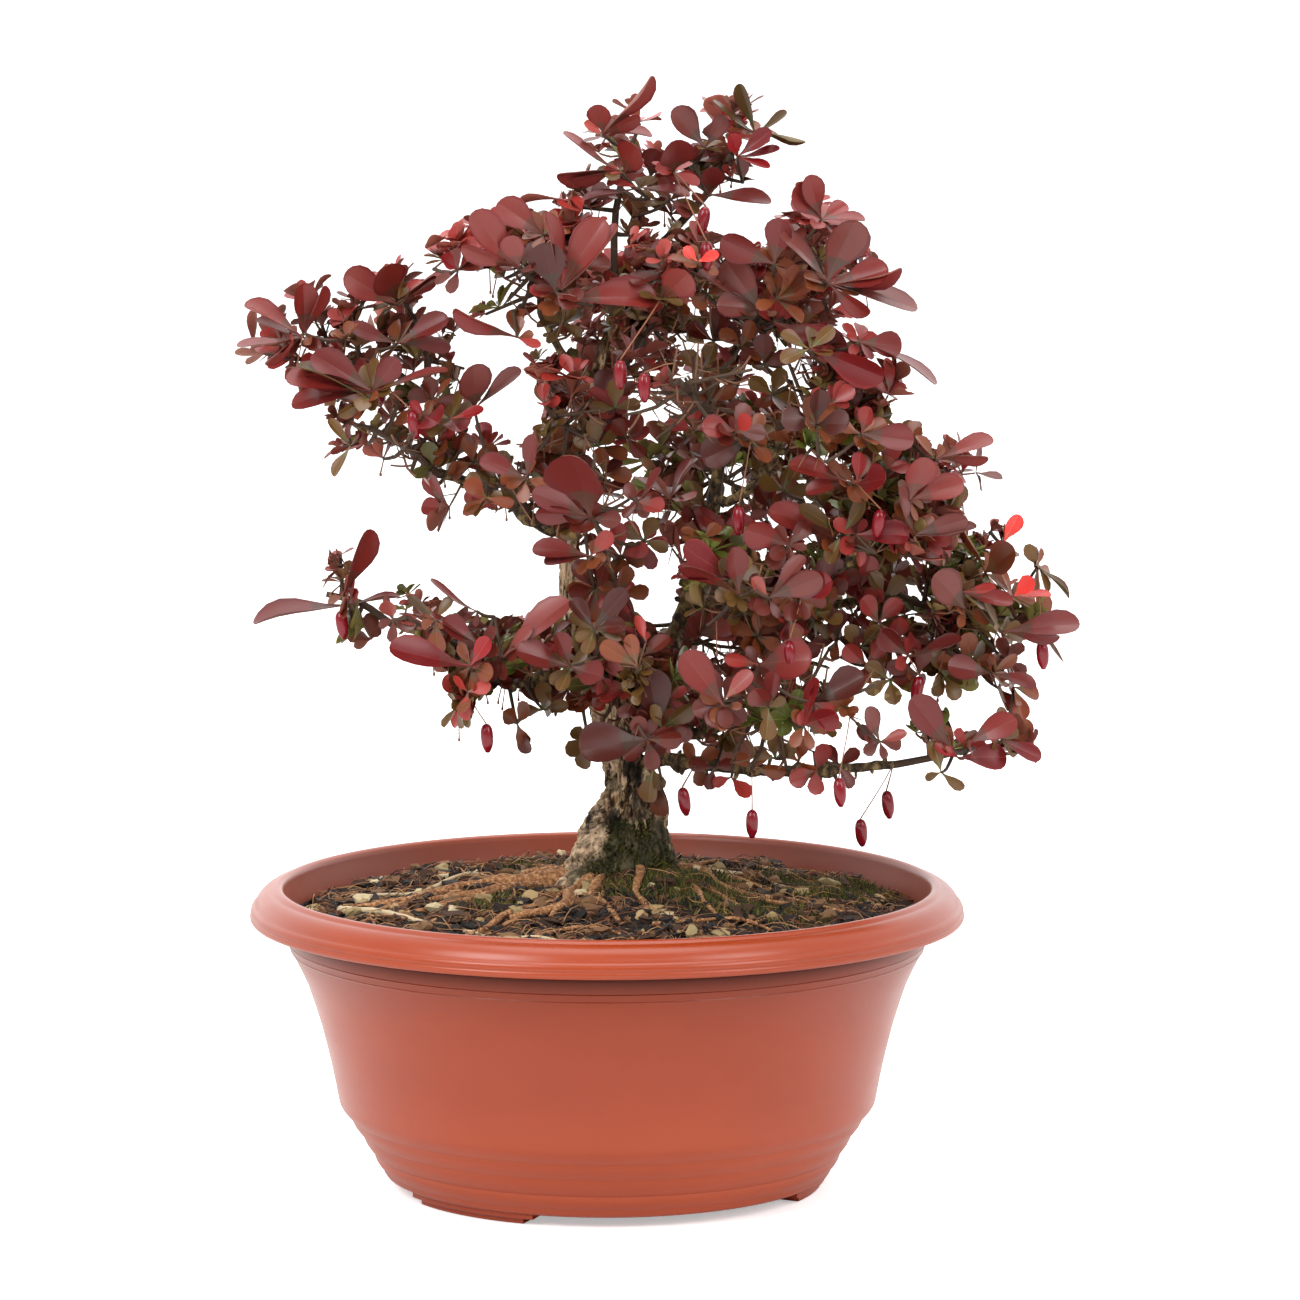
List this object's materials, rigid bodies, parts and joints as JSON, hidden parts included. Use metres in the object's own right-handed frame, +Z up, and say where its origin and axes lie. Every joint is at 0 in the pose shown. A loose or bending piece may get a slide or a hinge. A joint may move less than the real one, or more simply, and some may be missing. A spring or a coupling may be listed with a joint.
{
  "type": "potted japanese barberry trained as a bonsai",
  "caption": "Small purple-leaved japanese barberry trained as a bonsai, with forked trunk and airy masses of leaves and berries, in a round plastic pot on three feet.",
  "frame": {"origin": "under the middle of the whole plant and pot, on the plane the pot stands on", "axes": "+Z up; -Y towards the viewer of the pictured side, +X to that viewer's right"},
  "size_m": [0.2924, 0.2506, 0.3862],
  "materials": {
    "pot": "satin terracotta-coloured moulded plastic",
    "soil": "bark chips, pumice and moss, matt and damp",
    "bark": "tan fissured bark, matt",
    "foliage": "maroon leaves with a dull bloom, crimson berries"
  },
  "bodies": {
    "root": {"bough_back_high": "bark", "bough_back_low": "bark", "bough_back_mid": "bark", "bough_back_right": "bark", "bough_left_high": "bark", "bough_left_low": "bark", "bough_left_mid": "bark", "bough_left_tip": "bark", "bough_left_top": "bark", "bough_right": "bark", "bough_right_curved": "bark", "bough_right_high": "bark", "bough_right_low": "bark", "bough_right_mid": "bark", "foliage_apex_left": "foliage", "foliage_apex_right": "foliage", "foliage_back_high": "foliage", "foliage_back_left": "foliage", "foliage_back_low": "foliage", "foliage_back_mid": "foliage", "foliage_back_right": "foliage", "foliage_back_top": "foliage", "foliage_centre_front": "foliage", "foliage_centre_high": "foliage", "foliage_centre_left": "foliage", "foliage_centre_low": "foliage", "foliage_centre_right": "foliage", "foliage_left_high": "foliage", "foliage_left_inner": "foliage", "foliage_left_low": "foliage", "foliage_left_mid": "foliage", "foliage_left_outer": "foliage", "foliage_left_tip": "foliage", "foliage_right_end": "foliage", "foliage_right_high": "foliage", "foliage_right_low": "foliage", "foliage_right_low_far": "foliage", "foliage_right_mid": "foliage", "foliage_top_centre": "foliage", "foliage_top_left": "foliage", "foliage_top_right": "foliage", "pot": "pot", "right_stem": "bark", "root_back": "bark", "root_front": "bark", "root_front_left": "bark", "root_left": "bark", "root_right": "bark", "soil": "soil", "trunk": "bark"}
  },
  "joints": []
}
